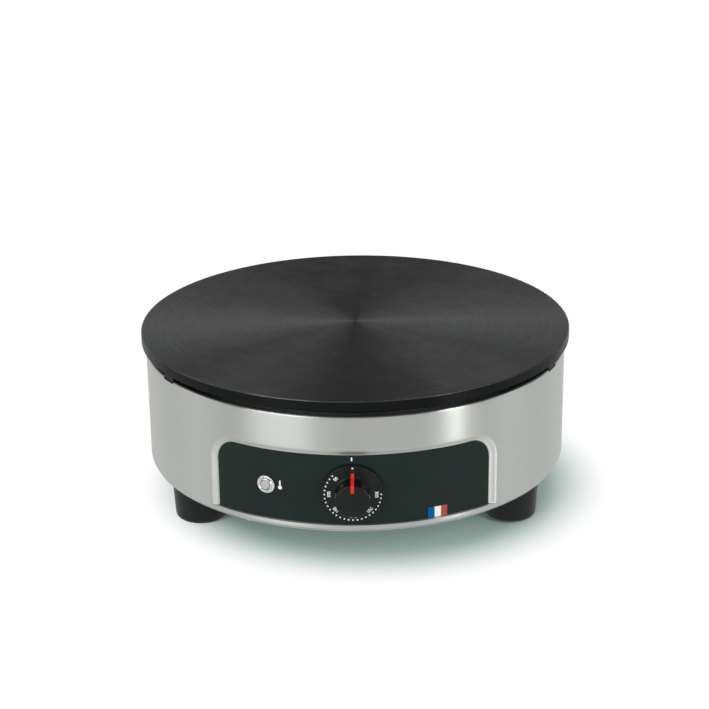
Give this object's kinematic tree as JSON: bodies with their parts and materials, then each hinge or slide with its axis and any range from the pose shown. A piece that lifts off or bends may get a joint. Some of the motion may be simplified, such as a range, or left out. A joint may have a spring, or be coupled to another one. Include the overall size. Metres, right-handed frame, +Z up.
{
  "type": "electric crepe maker",
  "caption": "Round countertop crepe maker: flat cast-iron cooking plate on a brushed steel drum body with a curved black control panel, temperature knob, lamp and tapered feet.",
  "frame": {"origin": "on the counter, under the centre of the cooking plate", "axes": "+Z up, -Y towards the control panel at the front, +Y towards the cable gland at the rear"},
  "size_m": [0.3999, 0.4253, 0.16],
  "materials": {
    "cast_iron": "machined cast iron, seasoned black",
    "stainless": "stainless steel brushed round the body",
    "overlay": "black printed polyester overlay",
    "knob_black": "black moulded plastic, satin",
    "pointer_red": "red moulded plastic",
    "chrome": "bright chrome",
    "lens": "pale translucent plastic",
    "foot_black": "black satin plastic",
    "zinc": "zinc-plated steel",
    "sheath": "dark annealed steel sheath",
    "galvanised": "galvanised sheet",
    "aluminised": "aluminised sheet",
    "mineral_wool": "mineral wool",
    "copper": "copper",
    "brass": "brass",
    "phenolic": "dark phenolic plastic",
    "ceramic": "white steatite",
    "gland_black": "black nylon",
    "seal_rubber": "black rubber",
    "lead_brown": "brown silicone insulation",
    "lead_blue": "blue silicone insulation",
    "lead_black": "black silicone insulation"
  },
  "bodies": {
    "base": {"griddle_plate": "cast_iron", "body_shell": "stainless", "control_fascia": "overlay", "thermostat_body": "phenolic", "thermostat_nut": "zinc", "thermostat_bracket": "galvanised", "lamp_bezel": "chrome", "lamp_lens": "lens", "lamp_body": "phenolic", "lamp_nut": "zinc", "base_plate": "galvanised", "base_rivets": "zinc", "rim_screws": "zinc", "terminal_block": "ceramic", "terminal_clamps": "brass", "earth_stud": "brass", "earth_nuts": "brass", "foot_screws": "zinc", "foot_nuts": "zinc", "lead_element_a": "lead_blue", "lead_element_b": "lead_black", "lead_supply": "lead_brown", "lead_lamp_a": "lead_blue", "lead_lamp_b": "lead_brown", "gland_body": "gland_black", "gland_locknut": "gland_black", "gland_seal": "seal_rubber", "gland_dome": "gland_black", "clamp_studs": "zinc", "clamp_nuts": "zinc", "pan_nuts": "zinc", "heating_element": "sheath", "element_pins": "zinc", "heat_shield_pan": "aluminised", "insulation_blanket": "mineral_wool", "sensor_bulb": "copper", "bulb_clip": "galvanised", "thermal_cutout": "phenolic", "sensor_screws": "zinc", "capillary_tube": "copper", "plate_bolts": "zinc", "clamp_bar_1": "sheath", "seat_bracket_1": "stainless", "clamp_bar_2": "sheath", "seat_bracket_2": "stainless", "clamp_bar_3": "sheath", "seat_bracket_3": "stainless", "foot_front_left": "foot_black", "foot_front_right": "foot_black", "foot_rear": "foot_black"},
    "dial": {"knob": "knob_black", "knob_pointer": "pointer_red", "knob_clip": "zinc", "thermostat_shaft": "zinc"}
  },
  "joints": [
    {"name": "thermostat_turn", "type": "hinge", "parent": "base", "child": "dial", "pos_m": [0, -0.194, 0.07285], "axis": [0, 1, 0], "range_deg": [0, 270]}
  ]
}
